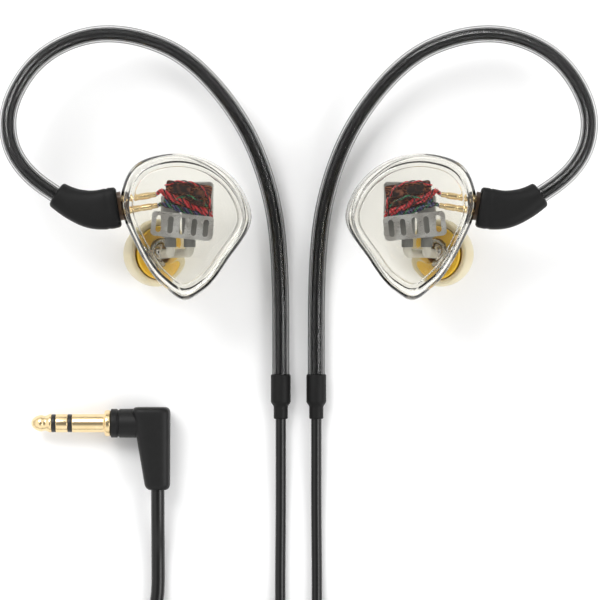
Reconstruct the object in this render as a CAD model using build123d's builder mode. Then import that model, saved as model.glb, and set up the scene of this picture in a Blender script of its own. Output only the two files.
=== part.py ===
"""In ear monitors: two clear resin earpieces on a detachable cable with formed ear hooks and a 3.5 mm plug.

The pair lies on a table (Z = 0), seen from above: +Y runs up the ear hooks, +X to the right earpiece.
Every piece of the left side is modelled once and mirrored across the YZ plane for the right side.
"""

import os
from math import cos, pi, radians, sin, tan

from build123d import *

os.makedirs("parts", exist_ok=True)

# ---------------------------------------------------------------- driving dimensions (mm)
# earpiece: heights are counted down from the seam between faceplate and shell
SEAM_Z = 22.4
SHELL_SCALE = 1.0  # size of the shell's outline in plan
SHELL_DEPTH = 10.3
SHELL_WALL = 1.2
FACEPLATE_THICK = 2.4
SHELL_CENTRE = (-21.1, 0.0)

# nozzle and ear tip share one tilted axis
NOZZLE_LEAN = 27.4  # degrees from straight down, towards the ear canal
NOZZLE_RADIUS = 2.3
NOZZLE_BORE = 1.8
NOZZLE_REACH = 5.0  # past the tip's seat
TIP_SEAT = (-26.08, -5.8, 8.09)
TIP_RADIUS = 6.25
TIP_LENGTH = 7.6
TIP_CORE_RADIUS = 3.2
TIP_FIT = 0.05  # radial clearance of the core on the nozzle

# two-pin connector
PIN_PITCH = 2.1
PIN_RADIUS = 0.39
PIN_FIT = 0.04  # radial clearance of a pin in its socket
PIN_REACH = 5.0  # length of pin inside the socket
SOCKET_RADIUS = 0.62
SOCKET_LENGTH = 5.5
PIN_DROP = 3.8  # pins below the seam
PIN_TURN = 9.5  # degrees that the pins climb in plan
PIN_FACE = (-33.0, 3.1)  # where the pins meet the shell, in plan

# ear hook and cable
CABLE_RADIUS = 1.0
HOOK_RADIUS = 1.64
HOOK_BORE_GAP = 0.05
HOOK_SEAT = 2.5  # hook length held inside the connector housing
SLEEVE_RADIUS = 1.9
SLEEVE_NECK_RADIUS = 1.35
SLEEVE_LENGTH = 8.6
SLEEVE_SHOULDER = 5.4
SLEEVE_TOP_Y = -28.8
HOOK_END_X = -3.4
SLEEVE_GRIP = 4.0  # hook length held inside the sleeve

# trunk cable, splitter and plug
TRUNK_RADIUS = 1.3
SPLITTER_LENGTH = 14.0
SPLITTER_WIDTH = 8.0
SPLITTER_HEIGHT = 4.6
PLUG_RADIUS = 1.75
PLUG_LENGTH = 14.0
PLUG_AXIS_Z = 3.7
PLUG_COLLAR_RADIUS = 2.75
PLUG_COLLAR_LENGTH = 1.2
PLUG_HOUSING_TOP_Y = -35.1
PLUG_HOUSING_DROP = 15.8
PLUG_CABLE_X = -26.9
PLUG_NECK_LENGTH = 4.9
PLUG_NECK_RADIUS = 2.75

# ---------------------------------------------------------------- shared places and helpers
def keep(piece, name):
    """Label a finished left-hand or shared piece and write it."""
    piece.part.label = name
    export_step(piece.part, "parts/" + name + ".step")


def pair(piece, name):
    """Write a left-hand piece and its mirror image for the right ear."""
    keep(piece, "left_" + name)
    other = mirror(piece.part, about=Plane.YZ)
    other.label = "right_" + name
    export_step(other, "parts/right_" + name + ".step")


def bend_radii(points):
    """A fillet for each corner: 0.45 of the shorter run over the tangent of half the turn."""
    radii = []
    for before, corner, after in zip(points, points[1:], points[2:]):
        run_in = Vector(corner) - Vector(before)
        run_out = Vector(after) - Vector(corner)
        turn = run_in.get_angle(run_out)
        shorter = min(run_in.length, run_out.length)
        radii.append(0.45 * shorter / tan(radians(turn / 2)))
    return radii


# the shell's outline, counted from its centre: a rounded triangle with its point down
OUTLINE = [
    (-12.2, 4.5),
    (-9.8, 10.4),
    (-3.5, 12.8),
    (4.5, 11.5),
    (10.0, 6.9),
    (12.3, 1.2),
    (8.0, -7.0),
    (3.2, -12.9),
    (-0.2, -14.6),
    (-3.8, -12.4),
    (-9.6, -3.9),
]


def outline(share, lean=(0.0, 0.0)):
    """The shell's outline at a share of its full size, with its middle moved by lean.

    SHELL_SCALE works about the pins' face, so that a shell of any size keeps its wall on the pins.
    """
    size = share * SHELL_SCALE
    middle_x = PIN_FACE[0] + (SHELL_CENTRE[0] - PIN_FACE[0]) * SHELL_SCALE + lean[0]
    middle_y = PIN_FACE[1] + (SHELL_CENTRE[1] - PIN_FACE[1]) * SHELL_SCALE + lean[1]
    return [(middle_x + x * size, middle_y + y * size) for x, y in OUTLINE]


# each level: depth below the seam, share of the outline, lean towards the nozzle
SHELL_LEVELS = [
    (0.0, 0.955, (0.0, 0.0)),
    (0.20, 1.0, (0.0, 0.0)),
    (0.50, 0.97, (-0.2, -0.2)),
    (0.75, 0.84, (-1.2, -1.0)),
    (0.92, 0.64, (-2.5, -2.4)),
    (1.0, 0.44, (-3.3, -3.4)),
]
CAVITY_LEVELS = [
    (0.0, 0.84, (0.0, 0.0)),
    (0.20, 0.885, (0.0, 0.0)),
    (0.52, 0.85, (-0.2, -0.2)),
    (0.76, 0.71, (-1.2, -1.0)),
    (1.0, 0.42, (-2.9, -2.9)),
]

nozzle_axis = Vector(-sin(radians(NOZZLE_LEAN)), 0, -cos(radians(NOZZLE_LEAN)))
nozzle_plane = Plane(origin=TIP_SEAT, x_dir=(0, 1, 0), z_dir=nozzle_axis)
pin_axis = Vector(cos(radians(PIN_TURN)), sin(radians(PIN_TURN)), 0)
pin_z = SEAM_Z - PIN_DROP
pin_plane = Plane(origin=(*PIN_FACE, pin_z), x_dir=(-pin_axis.Y, pin_axis.X, 0), z_dir=pin_axis)
CONE_START = -4.6  # the shell's neck, counted along the nozzle from the tip's seat
CONE_END = -0.8
CONE_RADIUS = 4.6
FUNNEL_RADIUS = 3.5  # where the sound tubes gather on their way into the nozzle
FUNNEL_DEPTH = 4.0

# ---------------------------------------------------------------- body shell with its nozzle
with BuildPart() as shell:
    for depth, share, lean in SHELL_LEVELS:
        with BuildSketch(Plane.XY.offset(SEAM_Z - depth * SHELL_DEPTH)):
            with BuildLine():
                Spline(*outline(share, lean), periodic=True)
            make_face()
    loft()
    with BuildSketch(nozzle_plane.offset(CONE_START)):
        Circle(CONE_RADIUS)
    with BuildSketch(nozzle_plane.offset(CONE_END)):
        Circle(NOZZLE_RADIUS)
    loft()
    with BuildSketch(nozzle_plane.offset(CONE_START)):
        Circle(NOZZLE_RADIUS)
    extrude(amount=NOZZLE_REACH - CONE_START)
    for depth, share, lean in CAVITY_LEVELS:
        with BuildSketch(Plane.XY.offset(SEAM_Z - depth * (SHELL_DEPTH - SHELL_WALL))):
            with BuildLine():
                Spline(*outline(share, lean), periodic=True)
            make_face()
    loft(mode=Mode.SUBTRACT)
    with BuildSketch(nozzle_plane.offset(CONE_START - 1.5)):
        Circle(NOZZLE_BORE)
    extrude(amount=NOZZLE_REACH - CONE_START + 1.5, mode=Mode.SUBTRACT)
    with BuildSketch(nozzle_plane.offset(CONE_START - FUNNEL_DEPTH)):
        Circle(FUNNEL_RADIUS)
    with BuildSketch(nozzle_plane.offset(CONE_START + 1.0)):
        Circle(NOZZLE_BORE)
    loft(mode=Mode.SUBTRACT)
    # a flat for the connector, and the two holes of the sockets
    with BuildSketch(pin_plane):
        Rectangle(14, 8)
    extrude(amount=-6, mode=Mode.SUBTRACT)
    with BuildSketch(pin_plane):
        with GridLocations(PIN_PITCH, 0, 2, 1):
            Circle(SOCKET_RADIUS)
    extrude(amount=SOCKET_LENGTH, mode=Mode.SUBTRACT)

pair(shell, "body_shell")

# ---------------------------------------------------------------- faceplate, rounded over its edge
EDGE_LEVELS = [(0.0, 0.955), (0.5, 0.915), (0.85, 0.85), (1.0, 0.785)]
with BuildPart() as faceplate:
    for rise, share in EDGE_LEVELS:
        with BuildSketch(Plane.XY.offset(SEAM_Z + rise * FACEPLATE_THICK)):
            with BuildLine():
                Spline(*outline(share), periodic=True)
            make_face()
    loft()

pair(faceplate, "faceplate")

# ---------------------------------------------------------------- badge under the faceplate
BADGE_WIDTH = 11.6
BADGE_HEIGHT = 4.6
BADGE_THICK = 0.4
BADGE_TILT = -6.0
badge_plane = Plane(origin=(-21.7, -0.8, SEAM_Z - BADGE_THICK)).rotated((0, 0, BADGE_TILT))
with BuildPart() as badge:
    with BuildSketch(badge_plane):
        RectangleRounded(BADGE_WIDTH, BADGE_HEIGHT, 0.8)
        with GridLocations(2.2, 0, 5, 1):
            SlotOverall(3.2, 1.0, rotation=90, mode=Mode.SUBTRACT)
    extrude(amount=BADGE_THICK)

pair(badge, "badge_plate")

# ---------------------------------------------------------------- balanced-armature drivers
LOW_WIDTH = 5.8
LOW_LENGTH = 10.4
LOW_HEIGHT = 3.8
HIGH_WIDTH = 3.5
HIGH_LENGTH = 8.0
HIGH_HEIGHT = 2.8
DRIVER_END_Y = -2.9  # both drivers speak at their lower end
DRIVER_TOP_Z = SEAM_Z - 2.1
LOW_X = -18.9
HIGH_X = -24.0
SPOUT_RADIUS = 0.7
SPOUT_LENGTH = 1.0
LOW_SPOUT_X = -20.4

with BuildPart() as low_driver:
    with BuildSketch(Plane.XY.offset(DRIVER_TOP_Z - LOW_HEIGHT)):
        with Locations((LOW_X, DRIVER_END_Y + LOW_LENGTH / 2)):
            RectangleRounded(LOW_WIDTH, LOW_LENGTH, 0.7)
    extrude(amount=LOW_HEIGHT)
    fillet(low_driver.faces().sort_by(Axis.Z)[-1].edges(), 0.3)
    with BuildSketch(Plane.XZ.offset(-DRIVER_END_Y)):
        with Locations((LOW_SPOUT_X, DRIVER_TOP_Z - LOW_HEIGHT / 2)):
            Circle(SPOUT_RADIUS)
    extrude(amount=SPOUT_LENGTH)

with BuildPart() as high_driver:
    with BuildSketch(Plane.XY.offset(DRIVER_TOP_Z - HIGH_HEIGHT)):
        with Locations((HIGH_X, DRIVER_END_Y + HIGH_LENGTH / 2)):
            RectangleRounded(HIGH_WIDTH, HIGH_LENGTH, 0.6)
    extrude(amount=HIGH_HEIGHT)
    fillet(high_driver.faces().sort_by(Axis.Z)[-1].edges(), 0.3)
    with BuildSketch(Plane.XZ.offset(-DRIVER_END_Y)):
        with Locations((HIGH_X, DRIVER_TOP_Z - HIGH_HEIGHT / 2)):
            Circle(SPOUT_RADIUS)
    extrude(amount=SPOUT_LENGTH)

pair(low_driver, "low_driver")
pair(high_driver, "high_driver")

# ---------------------------------------------------------------- dampers pushed over the spouts
DAMPER_RADIUS = 1.1
DAMPER_LENGTH = 1.8
DAMPER_BORE = 0.45
spouts = [
    (LOW_SPOUT_X, DRIVER_TOP_Z - LOW_HEIGHT / 2),
    (HIGH_X, DRIVER_TOP_Z - HIGH_HEIGHT / 2),
]
with BuildPart() as dampers:
    with BuildSketch(Plane.XZ.offset(-DRIVER_END_Y)):
        with Locations(*spouts):
            Circle(DAMPER_RADIUS)
    extrude(amount=DAMPER_LENGTH)
    with BuildSketch(Plane.XZ.offset(-DRIVER_END_Y)):
        with Locations(*spouts):
            Circle(SPOUT_RADIUS)
    extrude(amount=SPOUT_LENGTH, mode=Mode.SUBTRACT)
    with BuildSketch(Plane.XZ.offset(-DRIVER_END_Y)):
        with Locations(*spouts):
            Circle(DAMPER_BORE)
    extrude(amount=DAMPER_LENGTH, mode=Mode.SUBTRACT)

pair(dampers, "dampers")

# ---------------------------------------------------------------- sound tubes into the nozzle
TUBE_RADIUS = 0.84
TUBE_BORE = 0.5
TUBE_SPREAD = 0.9  # half the distance between the two tubes in the nozzle
SCREEN_THICK = 0.3
tube_start_y = DRIVER_END_Y - DAMPER_LENGTH
tube_end = NOZZLE_REACH - SCREEN_THICK
across = Vector(cos(radians(NOZZLE_LEAN)), 0, -sin(radians(NOZZLE_LEAN)))
TUBE_BENDS = (1.0, 6.0)
bend_place = -4.6  # the tubes join the nozzle's axis here, counted from the tip's seat

for name, (x, z), side in (("low_sound_tube", spouts[0], 1), ("high_sound_tube", spouts[1], -1)):
    sideways = across * (side * TUBE_SPREAD)
    joining = Vector(*TIP_SEAT) + nozzle_axis * bend_place + sideways
    mouth = Vector(*TIP_SEAT) + nozzle_axis * tube_end + sideways
    start_plane = Plane(origin=(x, tube_start_y, z), z_dir=(0, -1, 0))
    with BuildPart() as tube:
        with BuildLine() as route:
            FilletPolyline(
                start_plane.origin, Vector(x, TIP_SEAT[1], z), joining, mouth, radius=TUBE_BENDS
            )
        with BuildSketch(start_plane):
            Circle(TUBE_RADIUS)
        sweep(path=route.wire())
        with BuildSketch(start_plane):
            Circle(TUBE_BORE)
        sweep(path=route.wire(), mode=Mode.SUBTRACT)
    pair(tube, name)

# ---------------------------------------------------------------- screen at the nozzle's mouth
with BuildPart() as screen:
    with BuildSketch(nozzle_plane.offset(tube_end)):
        Circle(NOZZLE_BORE)
        with GridLocations(0.8, 0.8, 3, 3):
            Circle(0.2, mode=Mode.SUBTRACT)
    extrude(amount=SCREEN_THICK)

pair(screen, "nozzle_screen")

# ---------------------------------------------------------------- crossover on top of the drivers
BOARD_WIDTH = 8.6
BOARD_LENGTH = 5.2
BOARD_THICK = 0.5
BOARD_CENTRE = (-20.7, 4.7)
BOARD_TILT = -8.0
board_plane = Plane(origin=(*BOARD_CENTRE, DRIVER_TOP_Z)).rotated((0, 0, BOARD_TILT))
with BuildPart() as board:
    with BuildSketch(board_plane):
        RectangleRounded(BOARD_WIDTH, BOARD_LENGTH, 0.5)
    extrude(amount=BOARD_THICK)

with BuildPart() as crossover_parts:
    with BuildSketch(board_plane.offset(BOARD_THICK)):
        with Locations((-1.3, 1.2)):
            Rectangle(3.2, 1.6)
        with Locations((2.1, 0.9)):
            Rectangle(2.0, 1.25)
        with Locations((2.6, -0.9)):
            Rectangle(1.6, 0.8)
    extrude(amount=1.1)

pair(board, "crossover_board")
pair(crossover_parts, "crossover_parts")

# ---------------------------------------------------------------- pin sockets with solder cups
CUP_LENGTH = 1.1
CUP_RADIUS = 0.5
with BuildPart() as sockets:
    with BuildSketch(pin_plane):
        with GridLocations(PIN_PITCH, 0, 2, 1):
            Circle(SOCKET_RADIUS)
    extrude(amount=SOCKET_LENGTH)
    with BuildSketch(pin_plane.offset(SOCKET_LENGTH)):
        with GridLocations(PIN_PITCH, 0, 2, 1):
            Circle(CUP_RADIUS)
    extrude(amount=CUP_LENGTH)
    with BuildSketch(pin_plane):
        with GridLocations(PIN_PITCH, 0, 2, 1):
            Circle(PIN_RADIUS + PIN_FIT)
    extrude(amount=PIN_REACH + 0.2, mode=Mode.SUBTRACT)

pair(sockets, "pin_sockets")

# ---------------------------------------------------------------- fine wires from sockets to board
WIRE_RADIUS = 0.16
WIRE_BEND = 0.25
WIRE_RISE = 0.7  # the wires cross this far above the board
cup_end = SOCKET_LENGTH + CUP_LENGTH
board_top = DRIVER_TOP_Z + BOARD_THICK
with BuildPart() as wires:
    for side in (1, -1):
        start = pin_plane.from_local_coords((side * PIN_PITCH / 2, 0, cup_end))
        turn = start + pin_axis * 0.45
        pad = board_plane.from_local_coords((-BOARD_WIDTH / 2 + 0.7, side * 0.9, BOARD_THICK))
        over = Vector(pad.X, pad.Y, board_top + WIRE_RISE)
        with BuildLine() as wire_route:
            FilletPolyline(start, turn, Vector(turn.X, turn.Y, over.Z), over, pad, radius=WIRE_BEND)
        with BuildSketch(Plane(origin=start, z_dir=pin_axis)):
            Circle(WIRE_RADIUS)
        sweep(path=wire_route.wire())

pair(wires, "signal_wires")

# ---------------------------------------------------------------- silicone ear tip
SKIRT_WALL = 0.7
with BuildPart() as tip_flange:
    with BuildSketch(Plane.XZ):
        with BuildLine():
            outer = Spline(
                (TIP_RADIUS - 0.15, 0.9),
                (TIP_RADIUS, 2.2),
                (TIP_RADIUS - 0.5, 4.6),
                (TIP_RADIUS - 2.4, TIP_LENGTH - 0.5),
                (TIP_CORE_RADIUS - 0.9, TIP_LENGTH),
            )
            Line(outer @ 1, (TIP_CORE_RADIUS - 0.9, TIP_LENGTH - 1.3))
            Line((TIP_CORE_RADIUS - 0.9, TIP_LENGTH - 1.3), (TIP_CORE_RADIUS, TIP_LENGTH - 1.3))
            inner = Spline(
                (TIP_CORE_RADIUS, TIP_LENGTH - 1.3),
                (TIP_RADIUS - 1.2, 4.4),
                (TIP_RADIUS - SKIRT_WALL, 2.2),
                (TIP_RADIUS - SKIRT_WALL - 0.1, 0.9),
            )
            Line(inner @ 1, outer @ 0)
        make_face()
    revolve(axis=Axis.Z)

with BuildPart() as tip_core:
    with BuildSketch(Plane.XZ):
        with BuildLine():
            Polyline(
                (NOZZLE_RADIUS + TIP_FIT, 0),
                (4.6, 0),
                (4.6, 0.7),
                (TIP_CORE_RADIUS, 1.5),
                (TIP_CORE_RADIUS, TIP_LENGTH - 1.3),
                (NOZZLE_RADIUS + TIP_FIT, TIP_LENGTH - 1.3),
                close=True,
            )
        make_face()
    revolve(axis=Axis.Z)

tip_flange.part = nozzle_plane.location * tip_flange.part
tip_core.part = nozzle_plane.location * tip_core.part
pair(tip_flange, "tip_flange")
pair(tip_core, "tip_core")

# ---------------------------------------------------------------- connector housing
HOUSING_DEPTH = 5.4
HOUSING_TALL = 7.8
CARRIER_TALL = 5.4
CARRIER_DEPTH = 3.2
CARRIER_FLANGE = 1.2  # between the shell's flat and the housing
CARRIER_SEAT = 2.0  # held inside the housing
CARRIER_STEP = 0.4  # the seat is this much slimmer all round than the flange
MOUTH = Vector(-45.5, 5.2, pin_z)
MOUTH_RADIUS = 2.5
mouth_axis = Vector(-0.832, 0.555, 0).normalized()
housing_plane = pin_plane.offset(-CARRIER_FLANGE)
heel_plane = Plane(
    origin=housing_plane.origin + Vector(0, -0.3, 0), x_dir=housing_plane.x_dir, z_dir=-pin_axis
)
waist_plane = Plane(origin=(-38.6, 2.3, pin_z), x_dir=(0.02, 1.0, 0), z_dir=(-1.0, 0.02, 0))
knee_plane = Plane(origin=(-42.4, 3.4, pin_z), x_dir=(0.37, 0.929, 0), z_dir=(-0.929, 0.37, 0))
mouth_plane = Plane(origin=MOUTH, x_dir=(0.555, 0.832, 0), z_dir=mouth_axis)
HOUSING_LEVELS = [
    (heel_plane, HOUSING_TALL, HOUSING_DEPTH),
    (waist_plane, HOUSING_TALL - 0.6, HOUSING_DEPTH),
    (knee_plane, MOUTH_RADIUS * 2 + 0.9, MOUTH_RADIUS * 2 + 0.2),
    (mouth_plane, MOUTH_RADIUS * 2, MOUTH_RADIUS * 2),
]
with BuildPart() as housing:
    for plane, tall, deep in HOUSING_LEVELS:
        with BuildSketch(plane):
            RectangleRounded(tall, deep, deep / 2 - 0.3)
    loft()
    with BuildSketch(mouth_plane):
        Circle(HOOK_RADIUS)
    extrude(amount=-HOOK_SEAT, mode=Mode.SUBTRACT)
    with BuildSketch(housing_plane):
        RectangleRounded(CARRIER_TALL - 2 * CARRIER_STEP, CARRIER_DEPTH - 2 * CARRIER_STEP, 0.9)
    extrude(amount=-CARRIER_SEAT, mode=Mode.SUBTRACT)

pair(housing, "connector_housing")

# ---------------------------------------------------------------- pin carrier and pins
PIN_BACK = 1.6  # pin length inside the carrier's seat
pin_back_plane = pin_plane.offset(-CARRIER_FLANGE - PIN_BACK)
with BuildPart() as carrier:
    with BuildSketch(pin_plane):
        RectangleRounded(CARRIER_TALL, CARRIER_DEPTH, 1.3)
    extrude(amount=-CARRIER_FLANGE)
    with BuildSketch(housing_plane):
        RectangleRounded(CARRIER_TALL - 2 * CARRIER_STEP, CARRIER_DEPTH - 2 * CARRIER_STEP, 0.9)
    extrude(amount=-CARRIER_SEAT)
    with BuildSketch(pin_back_plane):
        with GridLocations(PIN_PITCH, 0, 2, 1):
            Circle(PIN_RADIUS)
    extrude(amount=CARRIER_FLANGE + PIN_BACK, mode=Mode.SUBTRACT)

with BuildPart() as pins:
    with BuildSketch(pin_back_plane):
        with GridLocations(PIN_PITCH, 0, 2, 1):
            Circle(PIN_RADIUS)
    extrude(amount=CARRIER_FLANGE + PIN_BACK + PIN_REACH)
    tips = pins.faces().filter_by(GeomType.PLANE).sort_by(Axis.X)[-2:]
    chamfer(tips.edges(), 0.15)

pair(carrier, "pin_carrier")
pair(pins, "connector_pins")

# ---------------------------------------------------------------- ear hook over its cable
SLEEVE_Z = SLEEVE_RADIUS
sleeve_end_y = SLEEVE_TOP_Y - SLEEVE_LENGTH
hook_seat = MOUTH - mouth_axis * HOOK_SEAT
hook_start = Plane(origin=hook_seat, z_dir=mouth_axis)
hook_first_turn = MOUTH + mouth_axis * 6.5
HOOK_TURNS = [
    (-54.65, 14.9, 17.6),
    (-54.65, 22.5, 16.4),
    (-49.4, 31.1, 14.8),
    (-40.5, 35.75, 12.8),
    (-31.0, 35.75, 11.0),
    (-20.7, 31.6, 8.6),
    (-11.0, 20.4, 5.6),
    (-5.7, 8.1, 3.4),
    (HOOK_END_X, -5.5, SLEEVE_Z),
]


def hook_points(end_y):
    """The corners of the hook's centreline, from its seat in the housing down to end_y."""
    return [hook_seat, hook_first_turn, *HOOK_TURNS, (HOOK_END_X, end_y, SLEEVE_Z)]


tube_points = hook_points(SLEEVE_TOP_Y - SLEEVE_GRIP)
cable_points = hook_points(sleeve_end_y)
with BuildPart() as hook_tube:
    with BuildLine() as hook_route:
        FilletPolyline(*tube_points, radius=bend_radii(tube_points))
    with BuildSketch(hook_start):
        Circle(HOOK_RADIUS)
    sweep(path=hook_route.wire())
    with BuildSketch(hook_start):
        Circle(CABLE_RADIUS + HOOK_BORE_GAP)
    sweep(path=hook_route.wire(), mode=Mode.SUBTRACT)

with BuildPart() as hook_cable:
    with BuildLine() as cable_route:
        FilletPolyline(*cable_points, radius=bend_radii(cable_points))
    with BuildSketch(hook_start):
        Circle(CABLE_RADIUS)
    sweep(path=cable_route.wire())

pair(hook_tube, "ear_hook_tube")
pair(hook_cable, "hook_cable")
print("hook cable:", round(cable_route.wire().length, 1), "mm")

# ---------------------------------------------------------------- end sleeve of the hook
SHOULDER_LENGTH = 0.7
sleeve_plane = Plane(origin=(HOOK_END_X, SLEEVE_TOP_Y, SLEEVE_Z), z_dir=(0, -1, 0))
neck_plane = sleeve_plane.offset(SLEEVE_SHOULDER + SHOULDER_LENGTH)
with BuildPart() as sleeve:
    with BuildSketch(sleeve_plane):
        Circle(SLEEVE_RADIUS)
    extrude(amount=SLEEVE_SHOULDER)
    chamfer(sleeve.faces().sort_by(Axis.Y)[-1].edges(), 0.15)
    with BuildSketch(sleeve_plane.offset(SLEEVE_SHOULDER)):
        Circle(SLEEVE_RADIUS)
    with BuildSketch(neck_plane):
        Circle(SLEEVE_NECK_RADIUS)
    loft()
    with BuildSketch(neck_plane):
        Circle(SLEEVE_NECK_RADIUS)
    extrude(amount=SLEEVE_LENGTH - SLEEVE_SHOULDER - SHOULDER_LENGTH)
    with BuildSketch(sleeve_plane):
        Circle(HOOK_RADIUS)
    extrude(amount=SLEEVE_GRIP, mode=Mode.SUBTRACT)
    with BuildSketch(sleeve_plane):
        Circle(CABLE_RADIUS)
    extrude(amount=SLEEVE_LENGTH, mode=Mode.SUBTRACT)

pair(sleeve, "hook_sleeve")

# ---------------------------------------------------------------- branch cables, each with its coil
TIE_WALL = 0.5
TIE_WIDTH = 3.0
LANE_GAP = 0.06  # between neighbouring turns of a coil
BRANCH_COIL_RADIUS = 10.5  # at the middle of the turns
BRANCH_LANES = 2  # turns side by side; every coil has two layers
BRANCH_COIL_Y = -86.0
SPLITTER_TOP_Y = -104.0
SPLITTER_Z = SPLITTER_HEIGHT / 2
SPLITTER_PORT_X = 2.0
branch_pitch = 2 * CABLE_RADIUS + LANE_GAP
branch_coil_x = HOOK_END_X - BRANCH_COIL_RADIUS - branch_pitch * (BRANCH_LANES - 1) / 2
branch_floor = CABLE_RADIUS + 0.02
branch_layer = CABLE_RADIUS + TIE_WALL + 0.05
BRANCH = [
    (HOOK_END_X, sleeve_end_y, SLEEVE_Z),
    (HOOK_END_X, sleeve_end_y - 7.0, SLEEVE_Z - 0.1),
    (HOOK_END_X, sleeve_end_y - 18.0, branch_floor),
    (HOOK_END_X - 0.15, sleeve_end_y - 33.0, branch_floor),
    (HOOK_END_X, BRANCH_COIL_Y, branch_layer),
]
BRANCH_TAIL = [
    (HOOK_END_X, BRANCH_COIL_Y, branch_layer + branch_pitch),
    (HOOK_END_X + 0.05, BRANCH_COIL_Y - 6.0, branch_layer + 0.9 * branch_pitch),
    (-SPLITTER_PORT_X - 0.3, BRANCH_COIL_Y - 12.5, SPLITTER_Z + 0.1),
    (-SPLITTER_PORT_X, SPLITTER_TOP_Y, SPLITTER_Z),
]


def cord_solid(points, radius, name):
    """A round cord along straight runs joined by arcs, with its length and the size of its bends."""
    radii = bend_radii(points)
    start_axis = Vector(*points[1]) - Vector(*points[0])
    with BuildPart() as cord:
        with BuildLine() as run:
            FilletPolyline(*points, radius=radii)
        with BuildSketch(Plane(origin=points[0], z_dir=start_axis)):
            Circle(radius)
        sweep(path=run.wire())
    length = run.wire().length
    share = cord.part.volume / (pi * radius**2 * length)
    print(name, "length", round(length, 1), "volume share", round(share, 4))
    print("  radii", [round(r, 1) for r in radii])
    return cord


pair(cord_solid(BRANCH, CABLE_RADIUS, "branch_cord"), "branch_cord")
pair(cord_solid(BRANCH_TAIL, CABLE_RADIUS, "branch_tail"), "branch_tail")


def coil_solid(centre, ring_radius, lanes, pitch):
    """The outer shape of a coil of two layers that lies on its tie."""
    width = lanes * pitch
    with BuildPart() as coil:
        with BuildSketch(Plane(origin=centre, x_dir=(1, 0, 0), z_dir=(0, -1, 0))):
            with Locations((ring_radius, 0)):
                RectangleRounded(width, 2 * pitch, 0.45 * pitch)
        revolve(axis=Axis(centre, (0, 0, 1)))
    return coil


branch_coil_z = TIE_WALL + branch_pitch
branch_centre = (branch_coil_x, BRANCH_COIL_Y, branch_coil_z)
pair(coil_solid(branch_centre, BRANCH_COIL_RADIUS, BRANCH_LANES, branch_pitch), "branch_coil")

# ---------------------------------------------------------------- splitter
splitter_plane = Plane(
    origin=(0, SPLITTER_TOP_Y, SPLITTER_Z), x_dir=(1, 0, 0), z_dir=(0, -1, 0)
)
with BuildPart() as splitter:
    with BuildSketch(splitter_plane):
        RectangleRounded(SPLITTER_WIDTH, SPLITTER_HEIGHT, 2.0)
    with BuildSketch(splitter_plane.offset(SPLITTER_LENGTH)):
        RectangleRounded(SPLITTER_HEIGHT, SPLITTER_HEIGHT - 0.4, 2.0)
    loft()

keep(splitter, "y_splitter")

# ---------------------------------------------------------------- trunk, its coil and the lead to the plug
TRUNK_COIL_Y = -140.0
TRUNK_COIL_RADIUS = 15.25
TRUNK_LANES = 4
trunk_pitch = 2 * TRUNK_RADIUS + LANE_GAP
trunk_outer_lane = TRUNK_COIL_RADIUS + trunk_pitch * (TRUNK_LANES - 1) / 2
trunk_coil_z = TIE_WALL + trunk_pitch
trunk_floor = TRUNK_RADIUS + 0.02
trunk_layer = TRUNK_RADIUS + TIE_WALL + 0.05
trunk_lead_x = -2 * trunk_outer_lane
splitter_end_y = SPLITTER_TOP_Y - SPLITTER_LENGTH
plug_lead_y = PLUG_HOUSING_TOP_Y - PLUG_HOUSING_DROP
TRUNK = [
    (0, splitter_end_y, SPLITTER_Z),
    (0, splitter_end_y - 5.0, SPLITTER_Z - 0.1),
    (0, splitter_end_y - 11.0, trunk_layer - 0.1),
    (0, TRUNK_COIL_Y, trunk_layer),
]
TRUNK_LEAD = [
    (trunk_lead_x, TRUNK_COIL_Y, trunk_layer + trunk_pitch),
    (trunk_lead_x, TRUNK_COIL_Y + 12.0, trunk_layer + 0.8 * trunk_pitch),
    (trunk_lead_x + 1.0, TRUNK_COIL_Y + 24.0, trunk_floor),
    (-33.2, -102.0, trunk_floor),
    (-31.6, -86.0, trunk_floor),
    (PLUG_CABLE_X, -74.0, trunk_floor),
    (PLUG_CABLE_X, -63.0, trunk_floor + 0.2),
    (PLUG_CABLE_X, plug_lead_y - 6.0, PLUG_AXIS_Z - 0.1),
    (PLUG_CABLE_X, plug_lead_y, PLUG_AXIS_Z),
]
trunk_centre = (-trunk_outer_lane, TRUNK_COIL_Y, trunk_coil_z)
keep(cord_solid(TRUNK, TRUNK_RADIUS, "trunk_cord"), "trunk_cord")
keep(cord_solid(TRUNK_LEAD, TRUNK_RADIUS, "trunk_lead"), "trunk_lead")
keep(coil_solid(trunk_centre, TRUNK_COIL_RADIUS, TRUNK_LANES, trunk_pitch), "trunk_coil")

# ---------------------------------------------------------------- ties round the three coils
branch_tie_x = branch_coil_x - BRANCH_COIL_RADIUS
trunk_tie_y = TRUNK_COIL_Y - TRUNK_COIL_RADIUS
branch_bundle = (BRANCH_LANES * branch_pitch, 2 * branch_pitch)
trunk_bundle = (TRUNK_LANES * trunk_pitch, 2 * trunk_pitch)
tie_places = [
    (Plane((branch_tie_x, BRANCH_COIL_Y, branch_coil_z), (1, 0, 0), (0, 1, 0)), branch_bundle),
    (Plane((-branch_tie_x, BRANCH_COIL_Y, branch_coil_z), (1, 0, 0), (0, 1, 0)), branch_bundle),
    (Plane((-trunk_outer_lane, trunk_tie_y, trunk_coil_z), (0, 1, 0), (1, 0, 0)), trunk_bundle),
]
with BuildPart() as ties:
    for place, (wide, high) in tie_places:
        with BuildSketch(place):
            RectangleRounded(wide + 2 * TIE_WALL, high + 2 * TIE_WALL, 1.2)
            RectangleRounded(wide, high, 0.9, mode=Mode.SUBTRACT)
        extrude(amount=TIE_WIDTH / 2, both=True)

keep(ties, "coil_ties")

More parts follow.
